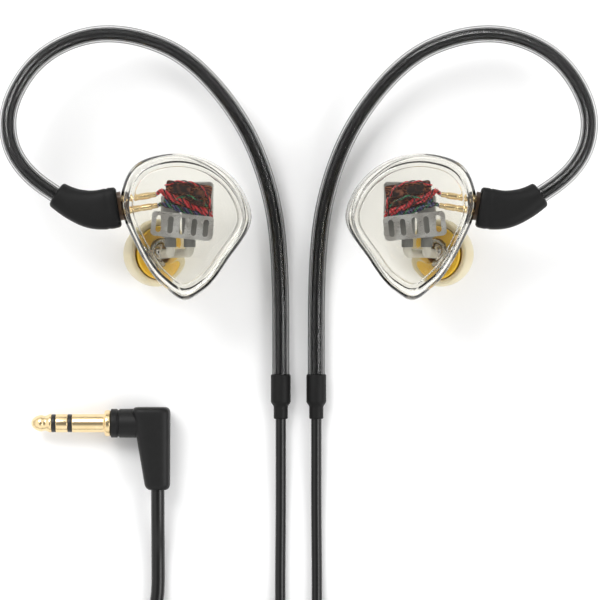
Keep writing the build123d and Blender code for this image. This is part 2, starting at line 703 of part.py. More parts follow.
# ---------------------------------------------------------------- right-angle plug
HOUSING_TOP_WIDTH = 8.1
HOUSING_TOP_DEPTH = 7.2
HOUSING_FOOT = 4.7
plug_axis_y = PLUG_HOUSING_TOP_Y - 0.3 - PLUG_NECK_RADIUS
block_plane = Plane(
    origin=(PLUG_CABLE_X, PLUG_HOUSING_TOP_Y, PLUG_AXIS_Z), x_dir=(1, 0, 0), z_dir=(0, -1, 0)
)
block_side_x = PLUG_CABLE_X - HOUSING_TOP_WIDTH / 2
neck_end_x = block_side_x - PLUG_NECK_LENGTH
with BuildPart() as plug_housing:
    with BuildSketch(block_plane):
        RectangleRounded(HOUSING_TOP_WIDTH, HOUSING_TOP_DEPTH, 1.6)
    with BuildSketch(block_plane.offset(PLUG_HOUSING_DROP)):
        RectangleRounded(HOUSING_FOOT, HOUSING_FOOT, 1.6)
    loft()
    fillet(plug_housing.faces().sort_by(Axis.Y)[-1].edges(), 0.8)
    with BuildSketch(Plane(origin=(neck_end_x, plug_axis_y, PLUG_AXIS_Z), z_dir=(1, 0, 0))):
        Circle(PLUG_NECK_RADIUS)
    extrude(amount=PLUG_NECK_LENGTH + HOUSING_TOP_WIDTH / 2)

keep(plug_housing, "plug_housing")

# the metal barrel, counted from the collar's outer face towards the tip
TIP_METAL = 3.9
RING_METAL = 2.4
INSULATOR = 0.7
sleeve_metal = PLUG_LENGTH - TIP_METAL - RING_METAL - 2 * INSULATOR
plug_face = Plane(origin=(neck_end_x, plug_axis_y, PLUG_AXIS_Z), x_dir=(0, 1, 0), z_dir=(-1, 0, 0))
barrel_plane = plug_face.offset(PLUG_COLLAR_LENGTH)
ring_start = sleeve_metal + INSULATOR
tip_start = ring_start + RING_METAL + INSULATOR

with BuildPart() as plug_sleeve:
    with BuildSketch(plug_face):
        Circle(PLUG_COLLAR_RADIUS - 0.25)
    extrude(amount=PLUG_COLLAR_LENGTH)
    chamfer(plug_sleeve.faces().sort_by(Axis.X)[0].edges(), 0.25)
    with BuildSketch(barrel_plane):
        Circle(PLUG_RADIUS)
    extrude(amount=sleeve_metal)

with BuildPart() as plug_ring:
    with BuildSketch(barrel_plane.offset(ring_start)):
        Circle(PLUG_RADIUS)
    extrude(amount=RING_METAL)

with BuildPart() as plug_insulators:
    for start in (sleeve_metal, ring_start + RING_METAL):
        with BuildSketch(barrel_plane.offset(start)):
            Circle(PLUG_RADIUS)
        extrude(amount=INSULATOR)

tip_plane = Plane(origin=barrel_plane.offset(tip_start).origin, x_dir=(-1, 0, 0), z_dir=(0, 0, 1))
with BuildPart() as plug_tip:
    with BuildSketch(tip_plane):
        with BuildLine():
            Polyline(
                (0, 0),
                (0, PLUG_RADIUS),
                (0.5, PLUG_RADIUS),
                (1.2, PLUG_RADIUS - 0.55),
                (2.0, PLUG_RADIUS - 0.05),
                (3.2, 1.0),
                (TIP_METAL - 0.15, 0.6),
                (TIP_METAL, 0.3),
                (TIP_METAL, 0),
                close=True,
            )
        make_face()
    revolve(axis=Axis(barrel_plane.origin, (-1, 0, 0)))

keep(plug_sleeve, "plug_sleeve")
keep(plug_ring, "plug_ring")
keep(plug_insulators, "plug_insulators")
keep(plug_tip, "plug_tip")
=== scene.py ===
"""In ear monitors: the finished looks of two clear resin earpieces on a detachable cable.

Sizes are in millimetres and become metres when a mesh is made. X runs to the right earpiece, Y to the
top of the ear hooks and Z up from the table. The left side is described and the right side mirrors it.
"""

from math import atan2, cos, pi, radians, sin

import bpy
import numpy as np
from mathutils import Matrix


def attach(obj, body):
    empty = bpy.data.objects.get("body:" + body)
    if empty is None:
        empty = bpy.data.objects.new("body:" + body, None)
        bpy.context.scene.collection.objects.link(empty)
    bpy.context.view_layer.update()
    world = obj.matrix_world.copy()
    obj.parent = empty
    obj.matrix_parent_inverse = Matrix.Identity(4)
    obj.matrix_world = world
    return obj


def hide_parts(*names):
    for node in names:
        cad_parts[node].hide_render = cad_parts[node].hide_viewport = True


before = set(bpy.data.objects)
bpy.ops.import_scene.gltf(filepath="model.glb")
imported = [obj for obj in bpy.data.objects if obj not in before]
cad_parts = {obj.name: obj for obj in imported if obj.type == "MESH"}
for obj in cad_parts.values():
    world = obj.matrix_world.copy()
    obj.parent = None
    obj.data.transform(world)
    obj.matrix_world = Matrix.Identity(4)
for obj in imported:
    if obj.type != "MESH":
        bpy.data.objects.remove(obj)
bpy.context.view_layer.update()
MM = 0.001

# ---------------------------------------------------------------------------------------------
# Camera, table and light. The pair lies on a pale table under a large soft box, and the camera
# looks straight down on it through a long lens, so that the hooks keep their true outline.
VIEW_CENTRE = (0.28, -14.6)
VIEW_WIDTH = 113.2
VIEW_PLANE_Z = 14.0  # the earpieces stand about here
LENS = 250.0
# the room's grey at each share of the height overhead: dim walls, a bright ring, a dark patch above
SKY_STOPS = [(0.0, 0.42), (0.22, 0.62), (0.42, 1.0), (0.80, 0.95), (0.93, 0.26), (1.0, 0.14)]
SKY_STRENGTH = 1.2

camera_data = bpy.data.cameras.new("camera")
camera_data.lens = LENS
camera_data.sensor_width = 36.0
camera_data.clip_end = 10.0
camera = bpy.data.objects.new("camera", camera_data)
bpy.context.scene.collection.objects.link(camera)
camera_height = VIEW_PLANE_Z + VIEW_WIDTH * LENS / camera_data.sensor_width
camera.location = (VIEW_CENTRE[0] * MM, VIEW_CENTRE[1] * MM, camera_height * MM)
bpy.context.scene.camera = camera
bpy.context.scene.view_settings.view_transform = "Standard"


def soft_box(name, place, aim, size, watts):
    """A square area light at place that shines at aim."""
    data = bpy.data.lights.new(name, "AREA")
    data.size = size * MM
    data.energy = watts
    light = bpy.data.objects.new(name, data)
    spot = np.array(place) * MM
    away = spot - np.array(aim) * MM
    light.location = spot
    light.rotation_euler = (0, np.arctan2(np.hypot(away[0], away[1]), away[2]), atan2(away[1], away[0]))
    bpy.context.scene.collection.objects.link(light)


soft_box("key", (-260, 320, 520), (0, -10, 0), 300, 2.0)
soft_box("fill", (420, -120, 420), (0, -10, 0), 260, 1.0)

world = bpy.data.worlds.new("studio")
world.use_nodes = True
bpy.context.scene.world = world
sky = world.node_tree
direction = sky.nodes.new("ShaderNodeTexCoord")
height = sky.nodes.new("ShaderNodeSeparateXYZ")
ramp = sky.nodes.new("ShaderNodeValToRGB")
ramp.color_ramp.elements[0].color = (*[SKY_STOPS[0][1]] * 3, 1)
ramp.color_ramp.elements[1].color = (*[SKY_STOPS[-1][1]] * 3, 1)
for stop, grey in SKY_STOPS[1:-1]:
    ramp.color_ramp.elements.new(stop).color = (grey, grey, grey, 1)
sky.links.new(direction.outputs["Generated"], height.inputs[0])
sky.links.new(height.outputs["Z"], ramp.inputs["Fac"])
sky.links.new(ramp.outputs["Color"], sky.nodes["Background"].inputs["Color"])
sky.nodes["Background"].inputs["Strength"].default_value = SKY_STRENGTH

# The table itself is a plain sheet of matt white board, well past the edges of the view.
FLOOR_HALF = 420.0
FLOOR_DROP = 0.02  # keeps the sheet clear of the undersides that rest on it


class Wire:
    """A shader socket that adds and multiplies like a number."""

    def __init__(self, tree, socket):
        self.tree = tree
        self.socket = socket

    def node(self, kind, out, inputs, **settings):
        """The output called out of any new node, with its inputs from wires or plain values."""
        made = self.tree.nodes.new(kind)
        for field, value in settings.items():
            setattr(made, field, value)
        for place, value in inputs.items():
            if isinstance(value, Wire):
                self.tree.links.new(value.socket, made.inputs[place])
            else:
                made.inputs[place].default_value = value
        return Wire(self.tree, made.outputs[out])

    def maths(self, operation, other=0.0):
        """The wire joined with another value by one operation of a Math node."""
        return self.node("ShaderNodeMath", 0, {0: self, 1: other}, operation=operation)

    def __add__(self, other):
        return self.maths("ADD", other)

    def __sub__(self, other):
        return self.maths("SUBTRACT", other)

    def __mul__(self, other):
        return self.maths("MULTIPLY", other)

    def __rsub__(self, other):
        return self * -1.0 + other

    __radd__ = __add__
    __rmul__ = __mul__

    def step(self, low, high):
        """0 below low, 1 above high and a straight ramp between."""
        ends = {"Value": self, "From Min": low, "From Max": high}
        return self.node("ShaderNodeMapRange", 0, ends, clamp=True)


class Paint:
    """A material with one Principled shader. Plain values are set when it is made."""

    def __init__(self, name, **plain):
        self.material = bpy.data.materials.new(name)
        self.material.use_nodes = True
        self.tree = self.material.node_tree
        self.shader = self.tree.nodes["Principled BSDF"]
        for field, value in plain.items():
            self.shader.inputs[field.replace("_", " ")].default_value = value
        place = Wire(self.tree, self.tree.nodes.new("ShaderNodeTexCoord").outputs["Object"])
        self.place = place.node("ShaderNodeVectorMath", 0, {0: place, "Scale": 1 / MM}, operation="SCALE")

    def axis(self, letter):
        """One coordinate of the object, in millimetres."""
        return self.place.node("ShaderNodeSeparateXYZ", letter, {0: self.place})

    def grain(self, scale, detail=3.0, stretch=(1.0, 1.0, 1.0)):
        """Noise around 0.5 with scale cells to a millimetre, drawn out along an axis by stretch."""
        drawn = self.place.node("ShaderNodeVectorMath", 0, {0: self.place, 1: stretch}, operation="MULTIPLY")
        return drawn.node("ShaderNodeTexNoise", 0, {"Vector": drawn, "Scale": scale, "Detail": detail})

    def mixed(self, low, high, share):
        """The colour low where share is 0 and high where it is 1."""
        ends = {0: share, 6: (*low, 1.0), 7: (*high, 1.0)}
        return self.place.node("ShaderNodeMix", 2, ends, data_type="RGBA")

    def vary(self, field, wire):
        """Feeds one of the shader's sockets from a wire."""
        self.tree.links.new(wire.socket, self.shader.inputs[field])
        return self

    def bumpy(self, height, deep, strength=1.0):
        """Relief of the given depth in millimetres."""
        ends = {"Height": height, "Distance": deep * MM, "Strength": strength}
        return self.vary("Normal", height.node("ShaderNodeBump", 0, ends))


board_white = Paint("floor_white", Base_Color=(0.93, 0.93, 0.93, 1), Roughness=0.75)
board_white.bumpy(board_white.grain(0.8), 0.01)
floor_mesh = bpy.data.meshes.new("floor")
floor_corners = np.array([(-1, -1, 0), (1, -1, 0), (1, 1, 0), (-1, 1, 0)]) * FLOOR_HALF - (0, 0, FLOOR_DROP)
floor_mesh.from_pydata((floor_corners * MM).tolist(), [], [(0, 1, 2, 3)])
floor_mesh.materials.append(board_white.material)
floor = bpy.data.objects.new("floor", floor_mesh)
bpy.context.scene.collection.objects.link(floor)

# ---------------------------------------------------------------------------------------------
# Free cords: two 2 mm branches from the hook sleeves to the splitter, and a 2.6 mm trunk from the
# splitter to the plug. Jackets are extruded soft black plastic. What isn't in use is wound in neat
# coils that a tie holds. Each cord is one spline, with its coil as turns of the same spline.
BRANCH_THICK = 2.0
BRANCH_PITCH = 2.06
BRANCH_RING = 10.5
BRANCH_CENTRE = (-14.93, -86.0)
BRANCH_LAYERS = (1.55, 3.61)
TRUNK_THICK = 2.6
TRUNK_PITCH = 2.66
TRUNK_RING = 15.25
TRUNK_CENTRE = (-19.24, -140.0)
TRUNK_LAYERS = (1.85, 4.51)
COIL_STEPS = 24
HOOK_END_X = -3.4
SLEEVE_END = (HOOK_END_X, -37.4, 1.9)
SPLITTER_END = (0.0, -118.0, 2.3)
PLUG_X = -26.9


def wound(centre, ring, lanes, pitch, layers, turns, moves):
    """Control points of a coil that is wound clockwise, starting at its side towards +X.

    The turns fill the lower layer from the outer lane inwards and then the upper layer outwards. A
    turn changes its place within one of three shares of the turn, given in moves: first in the upper
    layer, then the climb, then in the lower layer. So no two turns are ever in the same place.
    """
    columns = [lanes / 2 - 0.5 - k for k in range(lanes)]
    places = np.array([(c, 0.0) for c in columns] + [(c, 1.0) for c in reversed(columns)])
    turn = np.arange(1, int(turns * COIL_STEPS)) / COIL_STEPS
    place = np.floor(turn).astype(int)
    upper, climb, lower = moves
    start = np.where(place < lanes - 1, lower, np.where(place == lanes - 1, climb, upper))
    share = np.clip((turn - place - start) / (climb - upper), 0, 1)[:, None]
    following = places[np.minimum(place + 1, 2 * lanes - 1)]
    spot = places[place] + share**2 * (3 - 2 * share) * (following - places[place])
    radius = ring + pitch * spot[:, 0]
    angle = -2 * pi * turn
    return np.stack([
        centre[0] + radius * np.cos(angle),
        centre[1] + radius * np.sin(angle),
        layers[0] + (layers[1] - layers[0]) * spot[:, 1],
    ], axis=1)


def spline(name, points, thick, paint):
    """One open NURBS spline of order 3 along control points in millimetres, with a round section."""
    data = bpy.data.curves.new(name, "CURVE")
    data.dimensions = "3D"
    line = data.splines.new("NURBS")
    line.points.add(len(points) - 1)
    line.points.foreach_set("co", np.column_stack([np.array(points) * MM, np.ones(len(points))]).ravel())
    line.order_u = 3
    line.use_endpoint_u = True
    line.resolution_u = 5
    data.bevel_depth = thick / 2 * MM
    data.bevel_resolution = 6
    data.use_fill_caps = True
    data.materials.append(paint.material)
    made = bpy.data.objects.new(name, data)
    bpy.context.scene.collection.objects.link(made)
    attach(made, "cable_set")
    return made


jacket = Paint("cable_jacket", Specular_IOR_Level=0.4)
jacket.vary("Base Color", jacket.mixed((0.003, 0.003, 0.003), (0.007, 0.007, 0.007), jacket.grain(0.5)))
jacket.vary("Roughness", jacket.grain(1.5) * 0.12 + 0.24)
jacket.bumpy(jacket.grain(6.0, 2.0), 0.01)

branch_points = np.array([
    SLEEVE_END,
    (-3.4, -44.4, 1.8),
    (-3.4, -55.4, 1.02),
    (-3.55, -70.4, 1.02),
    (-3.4, -80.0, 1.35),
    (-3.4, -86.0, 1.55),
    *wound(BRANCH_CENTRE, BRANCH_RING, 2, BRANCH_PITCH, BRANCH_LAYERS, 3, (0.22, 0.48, 0.74)),
    (-3.4, -86.0, 3.61),
    (-3.35, -92.0, 3.4),
    (-2.3, -98.5, 2.4),
    (-2.0, -104.6, 2.3),
])
left_branch = spline("left_branch_cable", branch_points, BRANCH_THICK, jacket)
right_branch = spline("right_branch_cable", branch_points * (-1, 1, 1), BRANCH_THICK, jacket)
for branch, side in ((left_branch, "left"), (right_branch, "right")):
    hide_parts(side + "_branch_cord", side + "_branch_coil", side + "_branch_tail")

trunk_points = [
    SPLITTER_END,
    (0.0, -123.0, 2.2),
    (0.0, -129.0, 1.75),
    (0.0, -135.0, 1.85),
    (0.0, -140.0, 1.85),
    *wound(TRUNK_CENTRE, TRUNK_RING, 4, TRUNK_PITCH, TRUNK_LAYERS, 7.5, (0.50, 0.66, 0.82)),
    (-38.48, -140.0, 4.51),
    (-38.48, -134.0, 4.35),
    (-38.48, -128.0, 3.98),
    (-37.48, -116.0, 1.32),
    (-33.2, -102.0, 1.32),
    (-31.6, -86.0, 1.32),
    (PLUG_X, -74.0, 1.32),
    (PLUG_X, -63.0, 1.52),
    (PLUG_X, -56.9, 3.6),
    (PLUG_X, -50.0, 3.7),
]
trunk = spline("trunk_cable", trunk_points, TRUNK_THICK, jacket)
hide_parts("trunk_cord", "trunk_coil", "trunk_lead")

# Ties: flat black hook-and-loop straps that hold the three coils. The straps' edges are cut square.
strap = Paint("tie_strap", Base_Color=(0.018, 0.018, 0.019, 1), Roughness=0.85)
strap.bumpy(strap.grain(3.0), 0.12)


def repaint(paint, *nodes):
    """Gives CAD pieces that keep their shape another material."""
    for node in nodes:
        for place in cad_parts[node].material_slots:
            place.material = paint.material


repaint(strap, "coil_ties")

# ---------------------------------------------------------------------------------------------
# Splitter: a small moulded black plug-shaped block where the two branches join the trunk. It is
# moulded over the cords, wider at the two branches, with all its long edges rounded.
SPLITTER_TOP_Y = -104.0
SPLITTER_LONG = 14.0
SPLITTER_HALF_WIDE = 4.0
SPLITTER_HALF_HIGH = 2.3
SPLITTER_TAPER = 1.7
SPLITTER_ROUND = 0.7
AROUND = 64
SHARP_EDGE = radians(35.0)  # steeper steps between faces keep a crisp edge


def skin(rings, wrap=False):
    """Points and faces of a closed surface through rings of equally many points.

    Neighbouring rings are joined by four-sided faces. With wrap the last ring joins the first again,
    and without it both ends are closed by a fan around the ring's middle. Normals point outwards.
    """
    rings = np.asarray(rings, float)
    count, around = rings.shape[:2]
    index = np.arange(count * around).reshape(count, around)
    lower = index if wrap else index[:-1]
    upper = np.roll(index, -1, axis=0) if wrap else index[1:]
    quads = np.stack([lower, np.roll(lower, -1, 1), np.roll(upper, -1, 1), upper], axis=-1).reshape(-1, 4)
    points = rings.reshape(-1, 3)
    faces = quads.tolist()
    if not wrap:
        points = np.vstack([points, rings[0].mean(axis=0), rings[-1].mean(axis=0)])
        first, last = index[0], index[-1]
        fans = (np.roll(first, -1), first, count * around), (last, np.roll(last, -1), count * around + 1)
        for one, two, middle in fans:
            faces += [[a, b, middle] for a, b in zip(one.tolist(), two.tolist())]
    corners = points[np.array([[f[0], f[k], f[k + 1]] for f in faces for k in range(1, len(f) - 1)])]
    volume = np.einsum("ij,ij->", corners[:, 0], np.cross(corners[:, 1], corners[:, 2]))
    if volume < 0:
        faces = [f[::-1] for f in faces]
    return points, faces


def piece(name, blocks, paints, body, nodes=(), flip=False):
    """One object from blocks of points, faces and, where there are several paints, the paint's number."""
    points, faces, numbers = [], [], []
    for block in blocks:
        start = sum(len(p) for p in points)
        points.append(block[0])
        faces += [[start + i for i in face] for face in block[1]]
        numbers += [block[2] if len(block) > 2 else 0] * len(block[1])
    placed = np.vstack(points) * MM
    if flip:
        placed = placed * (-1, 1, 1)
        faces = [f[::-1] for f in faces]
    mesh = bpy.data.meshes.new(name)
    mesh.from_pydata(placed.tolist(), [], faces)
    for paint in paints:
        mesh.materials.append(paint.material)
    mesh.polygons.foreach_set("material_index", numbers)
    mesh.shade_smooth()
    mesh.set_sharp_from_angle(angle=SHARP_EDGE)
    made = bpy.data.objects.new(name, mesh)
    bpy.context.scene.collection.objects.link(made)
    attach(made, body)
    if nodes:
        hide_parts(*nodes)
    return made


def both(name, blocks, paints, body, nodes):
    """The left piece and its mirror image on the right."""
    made = []
    for side in ("left_", "right_"):
        rides = "cable_set" if body == "cable_set" else side + body
        stands_for = [side + node for node in nodes]
        made.append(piece(side + name, blocks, paints, rides, stands_for, side == "right_"))
    return made


def section(middle, across, up, half_wide, half_high, power, around=AROUND):
    """A closed superellipse: |u / half_wide|^power + |v / half_high|^power = 1 along across and up."""
    angle = np.linspace(0, 2 * pi, around, endpoint=False)
    u = np.sign(np.cos(angle)) * np.abs(np.cos(angle)) ** (2 / power) * half_wide
    v = np.sign(np.sin(angle)) * np.abs(np.sin(angle)) ** (2 / power) * half_high
    return np.array(middle) + np.outer(u, across) + np.outer(v, up)


def rounded_ends(count, edge):
    """Shares of the length and insets for a body whose two ends are rounded by a quarter circle.

    At an end the share is edge * (1 - cos turn) and the inset 1 - sin turn. Between them it is 0.
    """
    turn = np.linspace(0, pi / 2, 7)
    middle = np.linspace(0, 1, count)[1:-1]
    near_end = edge * (1 - np.cos(turn))
    places = np.concatenate([near_end, edge + (1 - 2 * edge) * middle, 1 - near_end[::-1]])
    inset = np.concatenate([1 - np.sin(turn), np.zeros(count - 2), 1 - np.sin(turn[::-1])])
    return places, inset


moulded = Paint("moulded_black", Specular_IOR_Level=0.3)
moulded.vary("Base Color", moulded.mixed((0.003, 0.003, 0.003), (0.007, 0.007, 0.007), moulded.grain(0.7)))
moulded.vary("Roughness", moulded.grain(2.0) * 0.15 + 0.42)
moulded.bumpy(moulded.grain(9.0, 4.0), 0.018)

splitter_rings = []
for s, g in zip(*rounded_ends(10, 0.06)):
    middle = (0, SPLITTER_TOP_Y - SPLITTER_LONG * s, SPLITTER_END[2])
    half_wide = SPLITTER_HALF_WIDE - SPLITTER_TAPER * s - SPLITTER_ROUND * g
    half_high = SPLITTER_HALF_HIGH - 0.2 * s - SPLITTER_ROUND * g
    splitter_rings.append(section(middle, (1, 0, 0), (0, 0, 1), half_wide, half_high, 3.6))
splitter = piece("splitter", [skin(splitter_rings)], [moulded], "cable_set", ["y_splitter"])

# ---------------------------------------------------------------------------------------------
# Plug: a 3.5 mm three-pole plug with a gold-plated barrel, and a right-angled black body moulded over
# it. The body tapers down the cable, and a round neck with a fine groove leads to the barrel.
PLUG_Z = 3.7
PLUG_AXIS_Y = -38.15
PLUG_TOP_Y = -35.1
PLUG_BODY_LONG = 15.8
PLUG_NECK_END = -35.85
PLUG_R = 1.75
PLUG_HEEL_LEAN = 1.3  # the body's top leans this far towards the barrel
GAP_WIDE = 0.68


def lathe(profile, origin, axis, around=AROUND):
    """Rings turned about an axis, one for each (radius, distance along the axis) of the profile."""
    axis = np.array(axis, float) / np.linalg.norm(axis)
    side = np.cross((0, 0, 1), axis) if abs(axis[2]) < 0.98 else np.array((1.0, 0, 0))
    side = side / np.linalg.norm(side)
    up = np.cross(axis, side)
    angle = np.linspace(0, 2 * pi, around, endpoint=False)
    circle = np.outer(np.cos(angle), side) + np.outer(np.sin(angle), up)
    return [np.array(origin) + axis * s + r * circle for r, s in profile]


def eased(profile, radius=0.12):
    """The profile with each of its inner corners turned into a small arc.

    The arc is the quadratic curve (1 - t)^2 start + 2 t (1 - t) corner + t^2 end, in four points.
    """
    profile = np.array(profile, float)
    made = [profile[0]]
    for before, corner, after in zip(profile, profile[1:], profile[2:]):
        into, out = before - corner, after - corner
        into_long, out_long = np.linalg.norm(into), np.linalg.norm(out)
        reach = min(radius, 0.45 * into_long, 0.45 * out_long)
        start, end = corner + into / into_long * reach, corner + out / out_long * reach
        for t in np.linspace(0, 1, 4):
            made.append((1 - t) ** 2 * start + 2 * t * (1 - t) * corner + t**2 * end)
    return [*made, profile[-1]]


gold = Paint("gold_plate", Metallic=1.0)
gold.vary("Base Color", gold.mixed((0.84, 0.62, 0.32), (0.98, 0.80, 0.50), gold.grain(0.6)))
gold.vary("Roughness", gold.grain(4.0, 2.0, (12.0, 1.0, 1.0)) * 0.16 + 0.14)
gold.bumpy(gold.grain(8.0, 2.0, (8.0, 1.0, 1.0)), 0.004)
ring_black = Paint("plug_insulator", Base_Color=(0.012, 0.012, 0.012, 1), Roughness=0.4)
ring_black.bumpy(ring_black.grain(5.0), 0.008)

body_rings = []
for s, g in zip(*rounded_ends(14, 0.07)):
    middle = (PLUG_X - PLUG_HEEL_LEAN * (1 - s), PLUG_TOP_Y - PLUG_BODY_LONG * s, PLUG_Z)
    half_wide = 3.7 - 1.35 * s - 0.9 * g
    half_high = 3.5 - 1.15 * s - 0.9 * g
    body_rings.append(section(middle, (1, 0, 0), (0, 0, 1), half_wide, half_high, 4.4 - 1.4 * s))
neck_profile = [
    (0.6, 0.0), (2.65, 0.0), (2.75, 0.12), (2.75, 1.2), (2.52, 1.3), (2.52, 1.55), (2.75, 1.65), (2.78, 5.6),
    (2.6, 7.5),
]
plug_face = (PLUG_NECK_END, PLUG_AXIS_Y, PLUG_Z)
plug_blocks = [skin(body_rings), skin(lathe(eased(neck_profile), plug_face, (1, 0, 0)))]
plug_body = piece("plug_body", plug_blocks, [moulded], "cable_set", ["plug_housing"])

sleeve_profile = [
    (0.4, 0.02), (2.3, 0.02), (2.5, 0.2), (2.5, 0.95), (2.25, 1.2), (1.9, 1.25), (PLUG_R, 1.4),
    (PLUG_R, 7.35), (1.6, 7.48), (0.4, 7.48),
]
ring_profile = [(0.4, 8.22), (1.62, 8.22), (PLUG_R, 8.34), (PLUG_R, 10.46), (1.62, 10.58), (0.4, 10.58)]
tip_profile = [
    (0.4, 11.32), (PLUG_R, 11.34), (PLUG_R, 11.75), (1.55, 12.15), (1.4, 12.5), (1.46, 12.9), (1.58, 13.25),
    (1.54, 13.7), (1.3, 14.3), (0.9, 14.85), (0.45, 15.15), (0.2, 15.19),
]
gap_r = PLUG_R - 0.03
gap_profiles = [[(0.4, s), (gap_r, s), (gap_r, s + GAP_WIDE), (0.4, s + GAP_WIDE)] for s in (7.51, 10.61)]


def turned(profile, origin, axis, radius=0.12):
    """A closed turned body of an eased profile."""
    return skin(lathe(eased(profile, radius), origin, axis))


contacts = (
    ("plug_barrel", sleeve_profile, "plug_sleeve"),
    ("plug_contact_ring", ring_profile, "plug_ring"),
    ("plug_point", tip_profile, "plug_tip"),
)
for name, profile, node in contacts:
    block = turned(profile, plug_face, (-1, 0, 0))
    piece(name, [block], [gold], "cable_set", [node])
gaps = [turned(profile, plug_face, (-1, 0, 0), 0.03) for profile in gap_profiles]
piece("plug_gaps", gaps, [ring_black], "cable_set", ["plug_insulators"])

# ---------------------------------------------------------------------------------------------
# Body shells: cast clear resin, hollow, 1.5 mm thick, polished outside and slightly wavy inside. The
# wall runs down into a short neck and a nozzle that holds the ear tip. The rim is ground flat.
SEAM_Z = 22.4
SHELL_MIDDLE = (-21.1, 0.0)
SHELL_OUTLINE = [
    (-12.2, 4.5), (-9.8, 10.4), (-3.5, 12.8), (4.5, 11.5), (10.0, 6.9), (12.3, 1.2),
    (8.0, -7.0), (3.2, -12.9), (-0.2, -14.6), (-3.8, -12.4), (-9.6, -3.9),
]
SHELL_AROUND = 180
SHELL_DEEP = 10.3
CAVITY_DEEP = 9.1
SEAM_GAP = 0.015
# depth share, share of the outline, and how far its middle leans towards the nozzle in X and Y
OUTER = [
    (0.0, 0.955, 0.0, 0.0), (0.05, 0.978, 0.0, 0.0), (0.20, 1.0, 0.0, 0.0),
    (0.50, 0.97, -0.2, -0.2), (0.75, 0.84, -1.2, -1.0), (0.92, 0.64, -2.5, -2.4),
]
INNER = [
    (0.0, 0.84, 0.0, 0.0), (0.20, 0.885, 0.0, 0.0), (0.52, 0.85, -0.2, -0.2),
    (0.76, 0.71, -1.2, -1.0), (0.9, 0.58, -2.0, -2.0),
]
NOZZLE_SEAT = np.array((-26.08, -5.8, 8.09))
NOZZLE_LEAN = radians(27.4)
NOZZLE_AXIS = np.array((-sin(NOZZLE_LEAN), 0.0, -cos(NOZZLE_LEAN)))
NOZZLE_SIDE = np.array((cos(NOZZLE_LEAN), 0.0, -sin(NOZZLE_LEAN)))
NOZZLE_R = 2.3
NOZZLE_HOLE = 1.8
NOZZLE_LONG = 5.0
BARB = 0.12  # the ridge at the nozzle's mouth that keeps the tip on


def through(knots, values, where):
    """Smooth values at where, on cubic pieces through the values at the knots with matched slopes.

    The slope at a knot is the mean of its two chords' slopes, each weighted by the other chord's gap.
    """
    knots = np.asarray(knots, float)
    values = np.asarray(values, float).reshape(len(knots), -1)
    gaps = np.diff(knots)
    slopes = np.diff(values, axis=0) / gaps[:, None]
    inner = (slopes[:-1] * gaps[1:, None] + slopes[1:] * gaps[:-1, None]) / (gaps[:-1] + gaps[1:])[:, None]
    tangents = np.vstack([slopes[:1], inner, slopes[-1:]])
    spot = np.clip(np.searchsorted(knots, where, side="right") - 1, 0, len(gaps) - 1)
    t = ((where - knots[spot]) / gaps[spot])[:, None]
    wide = gaps[spot][:, None]
    return ((2 * t**3 - 3 * t**2 + 1) * values[spot] + (t**3 - 2 * t**2 + t) * wide * tangents[spot]
            + (3 * t**2 - 2 * t**3) * values[spot + 1] + (t**3 - t**2) * wide * tangents[spot + 1])


def chord_knots(points):
    """Distances along a run of points, as the sum of the straight steps between them."""
    steps = np.linalg.norm(np.diff(np.asarray(points, float), axis=0), axis=1)
    return np.concatenate([[0.0], np.cumsum(steps)])


def lap(points, count):
    """A smooth closed curve through the points, evenly shared into count points."""
    three = np.array(points * 3)
    knots = chord_knots(three)
    one = len(points)
    where = np.linspace(knots[one], knots[2 * one], count, endpoint=False)
    return through(knots, three, where)


outline = lap(SHELL_OUTLINE, SHELL_AROUND)
bearing = np.arctan2(outline[:, 1], outline[:, 0])


def outline_ring(share, lean_x, lean_y, z):
    """The shell's outline at a share of its size and a height."""
    flat = outline * share + np.array(SHELL_MIDDLE) + (lean_x, lean_y)
    return np.column_stack([flat, np.full(SHELL_AROUND, z)])


def wall_rings(levels, deep, depths):
    """Rings of the shell's wall at shares of its depth, with size and lean smoothed through the levels."""
    table = np.array(levels)
    rows = through(table[:, 0], table[:, 1:], depths)
    return [outline_ring(*row, SEAM_Z - SEAM_GAP - d * deep) for row, d in zip(rows, depths)]


def nozzle_ring(radius, along):
    """A circle about the nozzle's axis, with each point on the same bearing as the outline's."""
    spread = np.outer(np.cos(bearing), NOZZLE_SIDE) + np.outer(np.sin(bearing), (0, 1, 0))
    return NOZZLE_SEAT + NOZZLE_AXIS * along + radius * spread


def bridge(first, second, third, fourth, pull_out, pull_in, steps):
    """Rings on a cubic from second to third, leaving along first-second and arriving along third-fourth."""
    leave = (second - first) / np.linalg.norm(second - first, axis=1)[:, None]
    arrive = (fourth - third) / np.linalg.norm(fourth - third, axis=1)[:, None]
    gap = np.linalg.norm(third - second, axis=1)[:, None]
    rings = []
    for t in np.linspace(0, 1, steps + 2)[1:-1]:
        rings.append((2 * t**3 - 3 * t**2 + 1) * second + (t**3 - 2 * t**2 + t) * gap * pull_out * leave
                     + (3 * t**2 - 2 * t**3) * third + (t**3 - t**2) * gap * pull_in * arrive)
    return rings


